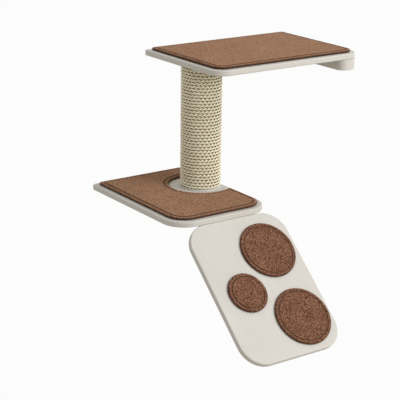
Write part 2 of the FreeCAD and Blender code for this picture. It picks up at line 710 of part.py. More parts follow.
def screw_hole(name, distance, angle):
    """A cylinder that cuts one screw hole in a leg, at that distance from the bend."""
    drill_bit = doc.addObject("Part::Cylinder", name)
    bind(drill_bit, "Radius", "pan_radius + bolt_clearance")
    bind(drill_bit, "Height", "3 * bracket_thickness")
    bind(drill_bit, "Placement.Base.x", "bracket_width / 2")
    if angle:
        drill_bit.Placement.Rotation = Rotation(Vector(1, 0, 0), number("ramp_angle"))
        bind(drill_bit, "Placement.Rotation.Angle", "ramp_angle")
        bind(drill_bit, "Placement.Base.y",
             f"2 * bracket_thickness * sin({SLOPE}) - ({distance}) * cos({SLOPE})")
        bind(drill_bit, "Placement.Base.z",
             f"-2 * bracket_thickness * cos({SLOPE}) - ({distance}) * sin({SLOPE})")
    else:
        bind(drill_bit, "Placement.Base.y", distance)
        bind(drill_bit, "Placement.Base.z", "-2 * bracket_thickness")
    return drill_bit


def ramp_brackets():
    """Bent steel strips that hold the ramp under the lower board's front edge."""
    for label, left in zip(("ramp_bracket_left", "ramp_bracket_right"), BRACKET_LEFTS):
        strip_of_steel = doc.addObject("Part::MultiFuse", f"{label}_strip")
        strip_of_steel.Shapes = [
            plate_leg(f"{label}_board_leg", "bracket_board_leg", angle=False),
            plate_leg(f"{label}_ramp_leg", "bracket_ramp_leg", angle=True),
        ]
        holes = doc.addObject("Part::MultiFuse", f"{label}_holes")
        holes.Shapes = [
            screw_hole(f"{label}_hole_{number_in_leg}_{int(angle)}", distance, angle)
            for leg, angle in (("bracket_board_leg", False), ("bracket_ramp_leg", True))
            for number_in_leg, distance in enumerate(leg_screws(leg))
        ]
        bracket = doc.addObject("Part::Cut", label)
        bracket.Label = label
        bracket.Base = strip_of_steel
        bracket.Tool = holes
        bind(bracket, "Placement.Base.x", f"{RAMP_LEFT} + {left}")
        bind(bracket, "Placement.Base.y", BEND_Y)
        bind(bracket, "Placement.Base.z", LOWER_UNDERSIDE)
        pieces.append(bracket)


def pan_screw():
    """A pan-head screw pointing up, the underside of its head on height 0."""
    head = number("pan_head_radius")
    high = number("pan_head_height")
    shank = number("pan_radius")
    end = number("pan_depth + bracket_thickness")
    screw = turned(((0, -high), (head, -high), (head, 0), (shank, 0), (shank, end - shank), (0, end)))
    rim = [edge for edge in screw.Edges if abs(edge.CenterOfMass.z + high) < 1e-6 and edge.Closed]
    return screw.makeFillet(high / 2, rim)


def ramp_bracket_screws():
    """Two screws up through each leg of each bracket."""
    thick = number("bracket_thickness")
    bend = Vector(0, number(BEND_Y), number(LOWER_UNDERSIDE))
    tilt = Rotation(Vector(1, 0, 0), number("ramp_angle"))
    screws = []
    for left in BRACKET_LEFTS:
        x = number(f"{RAMP_LEFT} + {left} + bracket_width / 2")
        for distance in leg_screws("bracket_board_leg"):
            place = Placement(bend + Vector(x, number(distance), -thick), Rotation())
            screws.append(pan_screw().transformed(place.Matrix))
        for distance in leg_screws("bracket_ramp_leg"):
            offset = tilt.multVec(Vector(0, -number(distance), -thick))
            place = Placement(bend + Vector(x, 0, 0) + offset, tilt)
            screws.append(pan_screw().transformed(place.Matrix))
    shaped_piece("ramp_bracket_screws", screws)


# ---------------------------------------------------------------- build, check and write
upper_board()
upper_mat()
upper_wall_rail()
support_arm()
lower_board()
lower_mat()
lower_wall_rail()
hook_tapes()
post_core()
post_rope()
rope_end_staples()
post_fasteners()
ramp_board()
ramp_pads()
ramp_pad_hook_discs()
ramp_brackets()
ramp_bracket_screws()
board_screws()
support_arm_dowels()
doc.recompute()

for thing in doc.Objects:
    if "Invalid" in thing.State or "Error" in thing.State:
        raise RuntimeError(f"{thing.Label} failed: {thing.State}")
for piece in pieces:
    if piece.Shape.isNull() or not piece.Shape.isValid() or not piece.Shape.Solids:
        raise RuntimeError(f"{piece.Label} has no valid solid")

os.makedirs("parts", exist_ok=True)
for piece in pieces:
    piece.Shape.exportStep(f"parts/{piece.Label}.step")
    box = piece.Shape.BoundBox
    print(f"{piece.Label:24s} {len(piece.Shape.Solids)} solid(s) {piece.Shape.Volume / 1000:9.1f} cm3  "
          f"X {box.XMin:7.1f}..{box.XMax:7.1f}  Y {box.YMin:7.1f}..{box.YMax:7.1f}  "
          f"Z {box.ZMin:7.1f}..{box.ZMax:7.1f}")
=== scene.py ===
# %% [markdown]
# # A wall mounted cat tree
#
# Two cream boards with brown felt mats, a post wound with twisted rope between them, and a sloping
# ramp that carries three round pads. The boards, rails and fasteners come as exact solids, so they
# only get a finish here. The mats, the pads and the rope are modelled again in this file, because
# their look is in their shape: rolled rims, sewn grooves and twisted strands.

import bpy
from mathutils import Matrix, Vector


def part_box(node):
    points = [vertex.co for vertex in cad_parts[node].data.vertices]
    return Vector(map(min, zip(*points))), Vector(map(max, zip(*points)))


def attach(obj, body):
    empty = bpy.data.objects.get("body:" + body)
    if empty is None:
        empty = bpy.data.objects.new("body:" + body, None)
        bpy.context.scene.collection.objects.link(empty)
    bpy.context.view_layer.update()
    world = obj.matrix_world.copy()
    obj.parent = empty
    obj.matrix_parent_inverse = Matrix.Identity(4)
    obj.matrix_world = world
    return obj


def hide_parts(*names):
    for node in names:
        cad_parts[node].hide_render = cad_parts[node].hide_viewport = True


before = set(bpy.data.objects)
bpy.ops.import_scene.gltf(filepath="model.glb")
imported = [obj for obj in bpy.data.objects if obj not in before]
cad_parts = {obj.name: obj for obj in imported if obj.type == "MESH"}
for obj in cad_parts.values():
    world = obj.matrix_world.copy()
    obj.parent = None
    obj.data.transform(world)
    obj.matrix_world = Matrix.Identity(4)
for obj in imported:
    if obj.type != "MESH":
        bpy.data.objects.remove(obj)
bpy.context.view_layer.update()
print("solids loaded:", len(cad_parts))

# %% Modules and units
import math
import random

import bpy
import numpy as np
from mathutils import Matrix, Vector, noise
from mathutils.geometry import delaunay_2d_cdt

MM = 0.001
TURN = 2 * math.pi
rng = random.Random(7)
print("one millimetre is", MM, "of Blender's metres")

# %% [markdown]
# ## Three helpers for materials
#
# A material is a network of nodes. It can be wired by hand in the Shader Editor, or written down as
# here, which keeps a recipe readable and repeatable. One function adds a node with its settings and
# links. Another turns the hex colours of a paint chart, which are in sRGB, into the linear light
# that Blender works in. The last starts a material and sets what is the same all over its surface.


# %% Colour, node and material
def linear(hex_code):
    """A hex colour in sRGB as linear red, green, blue and alpha."""
    channels = [int(hex_code[i:i + 2], 16) / 255 for i in (1, 3, 5)]
    return tuple(c / 12.92 if c <= 0.04045 else ((c + 0.055) / 1.055) ** 2.4 for c in channels) + (1.0,)


def add(material, kind, settings=None, stops=None, **inputs):
    """Add a node. An input is named as in Blender, with _ for a space, or i and its number."""
    tree = material.node_tree
    node = tree.nodes.new(kind)
    for name, value in (settings or {}).items():
        setattr(node, name, value)
    if stops:
        band = node.color_ramp
        while len(band.elements) < len(stops):
            band.elements.new(0.5)
        for element, (position, hex_code) in zip(band.elements, stops):
            element.position = position
            element.color = linear(hex_code)
    for name, value in inputs.items():
        socket = node.inputs[int(name[1:]) if name[1:].isdigit() else name.replace("_", " ")]
        if isinstance(value, bpy.types.NodeSocket):
            tree.links.new(value, socket)
        else:
            socket.default_value = value
    return node


def start(name, **constants):
    """A new material and its Principled shader, whose constants go on the shader's own sockets."""
    material = bpy.data.materials.new(name)
    material.use_nodes = True
    shader = material.node_tree.nodes["Principled BSDF"]
    for key, value in constants.items():
        shader.inputs[key.replace("_", " ")].default_value = value
    return material, shader


def join(material, shader, **outputs):
    """Link outputs of nodes to the shader's inputs."""
    for key, output in outputs.items():
        material.node_tree.links.new(output, shader.inputs[key.replace("_", " ")])


print("cream, linear:", [round(c, 3) for c in linear("#DDD9D0")])

# %% [markdown]
# ## Cream lacquer on plywood
#
# The boards are plywood sprayed with a matt cream lacquer. The lacquer hides most of the wood, but
# long faint grain lines show through, and the coat itself is slightly uneven, like orange peel.
# An image of wood would need mapping on each board. Noise needs none: it is stretched along the
# board, 110 mm long and 3.5 mm wide, as open grain is. The ramp slopes, so its coordinates are
# turned by its slope first, which keeps the lines in the board. Lacquer has an IOR of about 1.5,
# and a matt one a roughness near 0.5.

# %% Cream lacquer
RAMP_SLOPE = math.radians(42.4)


def cream_lacquer(name, slope=0.0):
    material, shader = start(name, IOR=1.5)
    place = add(material, "ShaderNodeTexCoord").outputs["Object"]
    turned = add(material, "ShaderNodeMapping", {"vector_type": "TEXTURE"}, Vector=place,
                 Rotation=(slope, 0, 0)).outputs["Vector"]
    lengthwise = add(material, "ShaderNodeMapping", Vector=turned,
                     Scale=(1 / (3.5 * MM), 1 / (110 * MM), 1 / (3.5 * MM))).outputs["Vector"]
    grain = add(material, "ShaderNodeTexNoise", Vector=lengthwise, Scale=1.0, Detail=6.0, Roughness=0.6,
                Distortion=0.5).outputs["Fac"]
    cloud = add(material, "ShaderNodeTexNoise", Vector=place, Scale=1 / (140 * MM), Detail=2.0).outputs["Fac"]
    peel = add(material, "ShaderNodeTexNoise", Vector=place, Scale=1 / (2.2 * MM), Detail=3.0).outputs["Fac"]
    tone = add(material, "ShaderNodeValToRGB", stops=((0.25, "#C7C2BB"), (0.47, "#D2CFC9"), (0.8, "#D9D6D1")),
               Fac=grain).outputs["Color"]
    warmth = add(material, "ShaderNodeValToRGB", stops=((0.3, "#D2CDC5"), (0.7, "#DCD9D5")),
                 Fac=cloud).outputs["Color"]
    colour = add(material, "ShaderNodeMix", {"data_type": "RGBA"}, i0=0.35, i6=tone, i7=warmth).outputs[2]
    sheen = add(material, "ShaderNodeMapRange", Value=peel, To_Min=0.44, To_Max=0.58).outputs["Result"]
    pores = add(material, "ShaderNodeBump", Height=grain, Distance=0.12 * MM, Strength=0.5).outputs["Normal"]
    relief = add(material, "ShaderNodeBump", Height=peel, Distance=0.05 * MM, Strength=0.5,
                 Normal=pores).outputs["Normal"]
    join(material, shader, Base_Color=colour, Roughness=sheen, Normal=relief)
    return material


level_lacquer = cream_lacquer("matt_lacquer_level_boards")
ramp_lacquer = cream_lacquer("matt_lacquer_ramp", RAMP_SLOPE)
print("finish:", level_lacquer.name, "and", ramp_lacquer.name)

# %% [markdown]
# ## Needle felt
#
# The two mats are polyester needle felt, fibres punched by barbed needles into a dense sheet. The
# machine leaves fine ribs along the mat's depth, and most fibres lie along them. Felt has no gloss,
# so its roughness is near 1, but loose fibres catch light at a low angle, which the shader's sheen
# gives. Real ribs are about 1.5 mm apart and fibre bundles 2 mm long, too fine for the picture, so
# they are drawn 6.5 mm apart and 9 mm long. The ribs are a wave texture, and noise bends and breaks
# them, so that they read as fibre and not as print. A value stored on each mesh point by the builder
# further down darkens the cut side, where the felt is dense and no fibre stands up, and also paints
# shade under the rolled rim and in the sewn groove.

# %% Needle felt
mat_felt, shader = start("needle_felt_brown", Roughness=0.95, Sheen_Weight=0.2, Sheen_Roughness=0.5,
                         Sheen_Tint=linear("#C9A184"), Specular_IOR_Level=0.1)
place = add(mat_felt, "ShaderNodeTexCoord").outputs["Object"]
wander = add(mat_felt, "ShaderNodeTexNoise", Vector=place, Scale=1 / (9 * MM), Detail=3.0).outputs["Color"]
bent = add(mat_felt, "ShaderNodeMix", {"data_type": "RGBA", "blend_type": "LINEAR_LIGHT"}, i0=0.0016,
           i6=place, i7=wander).outputs[2]
# Blender's wave repeats every 2 pi / 20 units at scale 1.
ribs = add(mat_felt, "ShaderNodeTexWave", {"bands_direction": "X"}, Vector=bent,
           Scale=TURN / 20 / (6.5 * MM), Distortion=2.5, Detail=2.0).outputs["Fac"]
combed = add(mat_felt, "ShaderNodeMapping", Vector=bent,
             Scale=(1 / (3.2 * MM), 1 / (9 * MM), 1 / (3.2 * MM))).outputs["Vector"]
bundles = add(mat_felt, "ShaderNodeTexNoise", Vector=combed, Scale=1.0, Detail=4.0,
              Roughness=0.6).outputs["Fac"]
fibre = add(mat_felt, "ShaderNodeTexNoise", Vector=place, Scale=1 / (1.3 * MM), Detail=6.0,
            Roughness=0.7).outputs["Fac"]
patch = add(mat_felt, "ShaderNodeTexNoise", Vector=place, Scale=1 / (60 * MM), Detail=4.0).outputs["Fac"]
ribbed = add(mat_felt, "ShaderNodeMix", {"data_type": "FLOAT"}, i0=0.3, i2=bundles, i3=ribs).outputs[0]
woven = add(mat_felt, "ShaderNodeMix", {"data_type": "FLOAT"}, i0=0.3, i2=ribbed, i3=fibre).outputs[0]
worn = add(mat_felt, "ShaderNodeMix", {"data_type": "FLOAT"}, i0=0.08, i2=woven, i3=patch).outputs[0]
face = add(mat_felt, "ShaderNodeValToRGB", stops=((0.38, "#6A4936"), (0.5, "#997256"), (0.62, "#C29A80")),
           Fac=worn).outputs["Color"]
# The dark colour mixed in below is partly the felt's dense cut side and partly painted shade under the rolled
# rim and in the sewn groove.
cut_side_and_painted_shade = add(mat_felt, "ShaderNodeAttribute", {"attribute_name": "cut_side_and_painted_shade"}).outputs["Fac"]
face_with_cut_side_and_painted_shade = add(mat_felt, "ShaderNodeMix", {"data_type": "RGBA"}, i0=cut_side_and_painted_shade, i6=face, i7=linear("#432A1F")).outputs[2]
pressed = add(mat_felt, "ShaderNodeBump", Height=woven, Distance=1.6 * MM, Strength=0.8).outputs["Normal"]
relief = add(mat_felt, "ShaderNodeBump", Height=ribs, Distance=0.3 * MM, Strength=0.6,
             Normal=pressed).outputs["Normal"]
join(mat_felt, shader, Base_Color=face_with_cut_side_and_painted_shade, Normal=relief)
print("finish:", mat_felt.name)

# %% [markdown]
# ## Looped pile
#
# The round ramp pads are darker and grip better: a tufted fabric whose yarn stands up in small
# loops. Modelling each loop would take half a million faces. A Voronoi texture gives one cell for
# each loop instead, and the same pattern bends the surface through the bump node. It also paints the
# colour bright at each loop's top, a painted highlight, and dark between loops, painted shade.
# Real loops are about 2 mm across; they are drawn 2.7 mm across, the smallest that shows.

# %% Looped pile
pad_pile, shader = start("looped_pile_brown", Roughness=0.95, Sheen_Weight=0.2, Sheen_Roughness=0.45,
                         Sheen_Tint=linear("#C0937A"), Specular_IOR_Level=0.1)
place = add(pad_pile, "ShaderNodeTexCoord").outputs["Object"]
cells = add(pad_pile, "ShaderNodeTexVoronoi", Vector=place, Scale=1 / (2.7 * MM), Randomness=0.95)
loops = add(pad_pile, "ShaderNodeMapRange", Value=cells.outputs["Distance"], From_Max=0.75, To_Min=1.0,
            To_Max=0.0).outputs["Result"]
fibre = add(pad_pile, "ShaderNodeTexNoise", Vector=place, Scale=1 / (1.2 * MM), Detail=6.0,
            Roughness=0.7).outputs["Fac"]
patch = add(pad_pile, "ShaderNodeTexNoise", Vector=place, Scale=1 / (35 * MM), Detail=4.0).outputs["Fac"]
# The loop cells give the colour a painted highlight on each loop's top and painted shade between loops.
woven = add(pad_pile, "ShaderNodeMix", {"data_type": "FLOAT"}, i0=0.5, i2=loops, i3=fibre).outputs[0]
worn = add(pad_pile, "ShaderNodeMix", {"data_type": "FLOAT"}, i0=0.12, i2=woven, i3=patch).outputs[0]
face = add(pad_pile, "ShaderNodeValToRGB", stops=((0.32, "#593929"), (0.5, "#90654E"), (0.66, "#CFA287")),
           Fac=worn).outputs["Color"]
# As on the mats, the dark colour mixed in below is partly the dense cut side and partly painted shade under the
# rolled rim and in the sewn groove.
cut_side_and_painted_shade = add(pad_pile, "ShaderNodeAttribute", {"attribute_name": "cut_side_and_painted_shade"}).outputs["Fac"]
face_with_cut_side_and_painted_shade = add(pad_pile, "ShaderNodeMix", {"data_type": "RGBA"}, i0=cut_side_and_painted_shade, i6=face, i7=linear("#46291D")).outputs[2]
tufts = add(pad_pile, "ShaderNodeBump", Height=loops, Distance=1.8 * MM, Strength=0.9).outputs["Normal"]
relief = add(pad_pile, "ShaderNodeBump", Height=fibre, Distance=0.5 * MM, Strength=0.7,
             Normal=tufts).outputs["Normal"]
join(pad_pile, shader, Base_Color=face_with_cut_side_and_painted_shade, Normal=relief)
print("finish:", pad_pile.name)

# %% [markdown]
# ## Sewing thread
#
# The mats and pads are sewn round with bonded polyester thread. It is smooth and tightly twisted,
# so it is a little shinier than the felt it lies in, and shows as a fine row of lighter dashes.

# %% Sewing thread
thread, shader = start("polyester_thread_brown", Roughness=0.6, Sheen_Weight=0.3)
place = add(thread, "ShaderNodeTexCoord").outputs["Object"]
twist = add(thread, "ShaderNodeTexNoise", Vector=place, Scale=1 / (0.8 * MM), Detail=2.0).outputs["Fac"]
tone = add(thread, "ShaderNodeValToRGB", stops=((0.35, "#7A5743"), (0.65, "#A98570")),
           Fac=twist).outputs["Color"]
relief = add(thread, "ShaderNodeBump", Height=twist, Distance=0.15 * MM, Strength=0.6).outputs["Normal"]
join(thread, shader, Base_Color=tone, Normal=relief)
print("finish:", thread.name)

# %% [markdown]
# ## Sisal
#
# The post is wound with twisted sisal rope. Sisal fibre is stiff, straw coloured and slightly
# shiny, and lies along its strand. The strands further down carry a flat map of their own surface,
# called a UV map, in millimetres along and around the strand. The fibre noise follows that map,
# 9 mm long and 0.6 mm wide, so it turns with the strand, which coordinates in space could not do.
# Each point also carries a value named crown, which is 1 where a strand stands out from the post
# and 0 deep between the turns; the rope's darker colour there is painted shade, and the lighter
# colour on the outermost crests a painted highlight. The straw colours are written paler than the
# rope looks, because its many grooves shade each other.

# %% Sisal
sisal, shader = start("twisted_sisal", Roughness=0.4, Sheen_Weight=0.5, Specular_IOR_Level=1.0)
strand_map = add(sisal, "ShaderNodeUVMap", {"uv_map": "strand"}).outputs["UV"]
along = add(sisal, "ShaderNodeMapping", Vector=strand_map, Scale=(1 / 9, 1 / 0.6, 1)).outputs["Vector"]
fibre = add(sisal, "ShaderNodeTexNoise", Vector=along, Scale=1.0, Detail=5.0, Roughness=0.65).outputs["Fac"]
place = add(sisal, "ShaderNodeTexCoord").outputs["Object"]
batch = add(sisal, "ShaderNodeTexNoise", Vector=place, Scale=1 / (45 * MM), Detail=3.0).outputs["Fac"]
worn = add(sisal, "ShaderNodeMix", {"data_type": "FLOAT"}, i0=0.3, i2=fibre, i3=batch).outputs[0]
straw = add(sisal, "ShaderNodeValToRGB", stops=((0.3, "#F0E8C4"), (0.5, "#FCF6DC"), (0.72, "#FFFCEE")),
            Fac=worn).outputs["Color"]
crown = add(sisal, "ShaderNodeAttribute", {"attribute_name": "crown"}).outputs["Fac"]
# The groove colour is painted shade, mixed in where a strand lies deep between strands and turns.
tone = add(sisal, "ShaderNodeMix", {"data_type": "RGBA"}, i0=crown, i6=linear("#CBC09A"), i7=straw).outputs[2]
relief = add(sisal, "ShaderNodeBump", Height=fibre, Distance=0.4 * MM, Strength=0.8).outputs["Normal"]
join(sisal, shader, Base_Color=tone, Normal=relief)
print("finish:", sisal.name)

# %% [markdown]
# ## Planed pine
#
# The wall rails, the post's plugs and the dowels are planed softwood with no coat. Its growth rings
# show as long darker bands of late wood, about 5 mm apart along a rail.

# %% Planed pine
pine, shader = start("planed_pine", Roughness=0.6, IOR=1.5)
place = add(pine, "ShaderNodeTexCoord").outputs["Object"]
lengthwise = add(pine, "ShaderNodeMapping", Vector=place,
                 Scale=(1 / (160 * MM), 1 / (5 * MM), 1 / (5 * MM))).outputs["Vector"]
rings = add(pine, "ShaderNodeTexNoise", Vector=lengthwise, Scale=1.0, Detail=5.0, Distortion=0.8).outputs["Fac"]
tone = add(pine, "ShaderNodeValToRGB", stops=((0.3, "#B98F5E"), (0.55, "#D9B887"), (0.75, "#E6CDA2")),
           Fac=rings).outputs["Color"]
relief = add(pine, "ShaderNodeBump", Height=rings, Distance=0.15 * MM, Strength=0.5).outputs["Normal"]
join(pine, shader, Base_Color=tone, Normal=relief)
print("finish:", pine.name)

# %% [markdown]
# ## Wound card
#
# The core of the post is a tube of card strips wound round a mandrel and glued. Card is paper pulp:
# brown, fully matt, with a fine cloudy fleck.

# %% Wound card
card, shader = start("wound_card", Roughness=0.9, Specular_IOR_Level=0.2)
place = add(card, "ShaderNodeTexCoord").outputs["Object"]
pulp = add(card, "ShaderNodeTexNoise", Vector=place, Scale=1 / (2 * MM), Detail=6.0).outputs["Fac"]
tone = add(card, "ShaderNodeValToRGB", stops=((0.35, "#9C7F5C"), (0.65, "#B99C76")), Fac=pulp).outputs["Color"]
relief = add(card, "ShaderNodeBump", Height=pulp, Distance=0.1 * MM, Strength=0.6).outputs["Normal"]
join(card, shader, Base_Color=tone, Normal=relief)
print("finish:", card.name)

# %% [markdown]
# ## Zinc plate
#
# Screws, bolts, washers, inserts and staples are steel with a bright zinc plate. It is a metal, so
# its metallic value is 1 and its IOR stays at the default. The plate is hazy: its roughness moves
# between 0.28 and 0.45 in spots of about 1.5 mm.

# %% Zinc plate
zinc, shader = start("bright_zinc_plate", Metallic=1.0)
place = add(zinc, "ShaderNodeTexCoord").outputs["Object"]
haze = add(zinc, "ShaderNodeTexNoise", Vector=place, Scale=1 / (1.5 * MM), Detail=3.0).outputs["Fac"]
tone = add(zinc, "ShaderNodeValToRGB", stops=((0.35, "#BFC2C6"), (0.65, "#D2D3D3")), Fac=haze).outputs["Color"]
gloss = add(zinc, "ShaderNodeMapRange", Value=haze, To_Min=0.28, To_Max=0.45).outputs["Result"]
relief = add(zinc, "ShaderNodeBump", Height=haze, Distance=0.02 * MM, Strength=0.4).outputs["Normal"]
join(zinc, shader, Base_Color=tone, Roughness=gloss, Normal=relief)
print("finish:", zinc.name)

# %% [markdown]
# ## Powder coat
#
# The two bent brackets under the ramp are steel with a cream powder coat. The powder melts into a
# skin with a slight orange peel, about 1.2 mm across, and a soft satin gloss.

# %% Powder coat
coated_steel, shader = start("cream_powder_coat")
place = add(coated_steel, "ShaderNodeTexCoord").outputs["Object"]
peel = add(coated_steel, "ShaderNodeTexNoise", Vector=place, Scale=1 / (1.2 * MM), Detail=2.0).outputs["Fac"]
tone = add(coated_steel, "ShaderNodeValToRGB", stops=((0.35, "#D8D3C7"), (0.65, "#DFDBD0")),
           Fac=peel).outputs["Color"]
gloss = add(coated_steel, "ShaderNodeMapRange", Value=peel, To_Min=0.38, To_Max=0.52).outputs["Result"]
relief = add(coated_steel, "ShaderNodeBump", Height=peel, Distance=0.06 * MM, Strength=0.7).outputs["Normal"]
join(coated_steel, shader, Base_Color=tone, Roughness=gloss, Normal=relief)
print("finish:", coated_steel.name)

# %% [markdown]
# ## Hook tape
#
# The mats and pads peel off for washing. What holds them is self-adhesive nylon hook tape: dark,
# matt, and rough with hooks a little over 1 mm apart, which one Voronoi cell each stands for.

# %% Hook tape
hook_tape, shader = start("nylon_hook_tape", Roughness=0.8)
place = add(hook_tape, "ShaderNodeTexCoord").outputs["Object"]
hooks = add(hook_tape, "ShaderNodeTexVoronoi", Vector=place, Scale=1 / (1.2 * MM)).outputs["Distance"]
tone = add(hook_tape, "ShaderNodeValToRGB", stops=((0.1, "#3A2A22"), (0.6, "#1E1612")),
           Fac=hooks).outputs["Color"]
relief = add(hook_tape, "ShaderNodeBump", Height=hooks, Distance=0.5 * MM, Strength=0.8).outputs["Normal"]
join(hook_tape, shader, Base_Color=tone, Normal=relief)
print("finish:", hook_tape.name)

# %% [markdown]
# ## Finish the solids that stay
#
# The solids whose shape is already right keep it. Each one only gets its material, through the
# material slots of its own mesh.

# %% Finish the solids that stay
FINISHES = (
    (level_lacquer, ("upper_board", "lower_board", "support_arm", "post_base_disc")),
    (ramp_lacquer, ("ramp_board",)),
    (pine, ("upper_wall_rail", "lower_wall_rail", "support_arm_dowels", "post_top_plug", "post_bottom_plug")),
    (card, ("post_tube",)),
    (zinc, ("post_bolts", "post_bolt_washers", "post_threaded_inserts", "rope_end_staples",
            "upper_rail_screws", "lower_rail_screws", "support_arm_screws", "ramp_bracket_screws")),
    (coated_steel, ("ramp_bracket_left", "ramp_bracket_right")),
    (hook_tape, ("upper_mat_hook_strips", "lower_mat_hook_strips", "ramp_pad_hook_discs")),
)
for material, names in FINISHES:
    for name in names:
        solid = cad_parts[name]
        solid.data.materials.clear()
        solid.data.materials.append(material)
    print(material.name, "on", len(names), "solids")

# %% [markdown]
# ## Helpers for outlines
#
# A felt piece starts as a flat outline, drawn counter-clockwise from arcs and straight stretches.
# Each helper leaves out its last point, because the next stretch starts with it.


# %% Outline helpers
def arc(centre, radius, first, last, count):
    """Points on an arc between two angles."""
    steps = [first + (last - first) * i / count for i in range(count)]
    return [(centre[0] + radius * math.cos(a), centre[1] + radius * math.sin(a)) for a in steps]


def straight(first, last, count):
    """Points on a straight stretch."""
    return [(first[0] + (last[0] - first[0]) * i / count, first[1] + (last[1] - first[1]) * i / count)
            for i in range(count)]


def inside(spot, loop):
    """Whether a spot lies inside a closed loop, by counting the edges to its right."""
    x, y = spot
    odd = False
    for (ax, ay), (bx, by) in zip(loop, loop[1:] + loop[:1]):
        if (ay > y) != (by > y) and x < (bx - ax) * (y - ay) / (by - ay) + ax:
            odd = not odd
    return odd


print("a quarter of a 10 mm circle:", len(arc((0, 0), 10 * MM, 0, TURN / 4, 8)), "points")

# %% [markdown]
# ## The shape of a felt piece
#
# A felt piece is flat, so what shows is its edge: a soft rolled rim, then a groove 10 mm in, where a
# row of stitches pulls the felt down. A bevelled slab would give the rim but not the groove, and a
# cloth simulation would blur both. So the rim is built as a stack of loops. Each loop is the
# outline moved inward by some distance, at some height, and neighbours are joined by quads. The
# middle is filled with small triangles whose heights wander a little, as in felt that was rolled up
# for a while and now lies flat.


# %% Felt builder
def mesh_object(name, points, faces, material):
    """A smooth mesh object in the frame, which moves with the whole tree."""
    mesh = bpy.data.meshes.new(name)
    mesh.from_pydata([tuple(point) for point in points], [], faces)
    mesh.update()
    mesh.materials.append(material)
    mesh.shade_smooth()
    piece = bpy.data.objects.new(name, mesh)
    bpy.context.scene.collection.objects.link(piece)
    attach(piece, "root")
    return piece


# Distance in from the outline, height, both in mm, and how much the colour darkens there: partly the felt's
# dense cut side, partly painted shade.
EDGE = ((1.6, 0.0, 1), (0.5, 0.4, 1), (0.0, 1.3, 1), (0.0, 2.8, 0.9), (0.4, 4.2, 0.7), (1.4, 5.2, 0.35),
        (2.8, 5.8, 0.1), (4.6, 6.0, 0), (6.6, 5.9, 0))
MAT_PROFILE = EDGE + ((7.6, 5.5, 0.2), (8.4, 4.7, 0.4), (9.3, 4.3, 0.5), (10.9, 4.3, 0.6), (11.9, 4.8, 0.9),
                      (12.8, 5.8, 0.8), (13.8, 6.3, 0.3), (15.2, 6.3, 0), (17.0, 5.9, 0))
# The darkening in the groove is painted shade; a mat's far wall gets the most, since it is the one that shows
# at a low angle.
PAD_PROFILE = EDGE + ((8.1, 5.3, 0.1), (9.0, 4.0, 0.4), (9.7, 3.2, 0.8), (10.5, 3.2, 0.8), (11.1, 4.2, 0.4),
                      (11.7, 5.4, 0), (12.6, 6.1, 0), (13.8, 5.9, 0), (15.0, 5.5, 0))


def felt_piece(name, node, outline, profile, place, material, cell, rumple, crown=0.0):
    """A mat or pad: outline(inset) gives its loop, profile its edge, and place puts it in the frame."""
    points = []
    cut_side_and_shade_shares = []
    for inset, height, cut_side_and_shade_share in profile:
        loop = outline(inset * MM)
        points += [Vector((x, y, height * MM)) for x, y in loop]
        cut_side_and_shade_shares += [cut_side_and_shade_share] * len(loop)
    count = len(loop)
    faces = [tuple(reversed(range(count)))]
    for ring in range(len(profile) - 1):
        for i in range(count):
            low, ahead = ring * count + i, ring * count + (i + 1) % count
            faces.append((low, ahead, ahead + count, low + count))

    limit = outline((profile[-1][0] + 0.7 * cell) * MM)
    low_x, high_x = min(x for x, _ in loop), max(x for x, _ in loop)
    low_y, high_y = min(y for _, y in loop), max(y for _, y in loop)
    middle = ((low_x + high_x) / 2, (low_y + high_y) / 2)
    fill = [Vector(spot) for spot in loop]
    for i in range(int((high_x - low_x) / (cell * MM)) + 1):
        for j in range(int((high_y - low_y) / (cell * MM)) + 1):
            spot = (low_x + (i + rng.uniform(0.3, 0.7)) * cell * MM,
                    low_y + (j + rng.uniform(0.3, 0.7)) * cell * MM)
            if inside(spot, limit):
                fill.append(Vector(spot))
    border = [(i, (i + 1) % count) for i in range(count)]
    flat, _, triangles, sources, _, _ = delaunay_2d_cdt(fill, border, [], 1, 1e-7)
    first = len(points) - count
    number = {}
    for k, spot in enumerate(flat):
        source = sources[k][0] if sources[k] else count
        if source < count:
            number[k] = first + source
            continue
        number[k] = len(points)
        swell = noise.noise(Vector((spot.x / (45 * MM), spot.y / (45 * MM), 0.7))) + 0.5
        out = min(1.0, math.hypot(spot.x - middle[0], spot.y - middle[1]) / ((high_x - low_x) / 2))
        height = profile[-1][1] + rumple * swell + crown * (1 - out * out)
        points.append(Vector((spot.x, spot.y, height * MM)))
        cut_side_and_shade_shares.append(0)
    faces += [tuple(number[k] for k in triangle) for triangle in triangles]

    piece = mesh_object(name, [place @ point for point in points], faces, material)
    # Each point's darkening, the dense cut side and painted shade under the rim and in the groove, goes into an
    # attribute for the felt and pile materials.
    cut_side_and_shade_layer = piece.data.attributes.new("cut_side_and_painted_shade", "FLOAT", "POINT")
    cut_side_and_shade_layer.data.foreach_set("value", [float(share) for share in cut_side_and_shade_shares])
    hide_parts(node)
    return piece


print("loops in the edge of a mat:", len(MAT_PROFILE), "and of a pad:", len(PAD_PROFILE))

# %% [markdown]
# ## The stitches
#
# A lockstitch shows as short raised dashes with a gap where the needle went in. Each dash is a
# small closed tube, thick in the middle and sunk at both ends. A texture could draw the dashes, but
# only real geometry shades and casts a shadow from every side. The dashes are 5 mm apart, as on
# heavy upholstery, since a finer row would not show.


# %% Stitch builder
STITCH_INSET = 10.1
STITCH_PITCH = 5.0
STITCH_SIDES = 6
# How high the row lies over the foot of a mat and of a pad, in mm.
MAT_STITCH_HEIGHT = 4.4
PAD_STITCH_HEIGHT = 3.3
# Place along the dash, thickness and lift, in mm.
STITCH_SHAPE = ((-1.8, 0.15, -0.2), (-1.3, 0.5, 0.1), (0.0, 0.6, 0.3), (1.3, 0.5, 0.1), (1.8, 0.15, -0.2))


